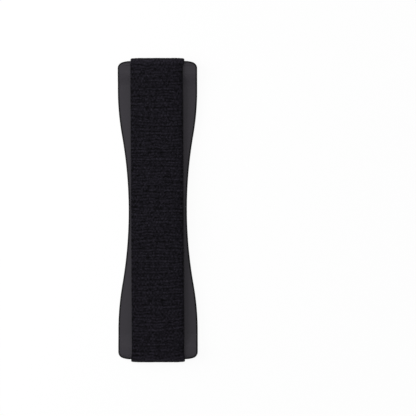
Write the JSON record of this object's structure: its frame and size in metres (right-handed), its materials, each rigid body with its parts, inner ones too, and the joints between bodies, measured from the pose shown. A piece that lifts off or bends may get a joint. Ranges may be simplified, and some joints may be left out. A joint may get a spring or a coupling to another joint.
{
  "type": "tablet strap grip",
  "caption": "Stick-on finger grip: an hourglass plate with a raised ridge at each end, and an elastic woven strap stretched over the ridges to hold a tablet by.",
  "frame": {"origin": "the middle of the adhesive face, on the surface that the grip is stuck to", "axes": "+Z out of that surface towards the strap, +Y along the strap, +X across it"},
  "size_m": [0.0274, 0.1052, 0.0046],
  "materials": {
    "plate_plastic": "fine matte moulded texture",
    "strap_weave": "woven elastic, dull, with cross ribs",
    "foam_tape": "matte foam with a tacky face"
  },
  "bodies": {
    "base": {"base_plate": "plate_plastic", "adhesive_pad": "foam_tape"},
    "strap_span": {"strap": "strap_weave"}
  },
  "joints": [
    {"name": "strap_pull", "type": "slide", "parent": "base", "child": "strap_span", "axis": [0, 0, 1], "range_m": [0, 0.015], "stiffness_N_per_m": 400, "deforming": ["strap"]}
  ]
}
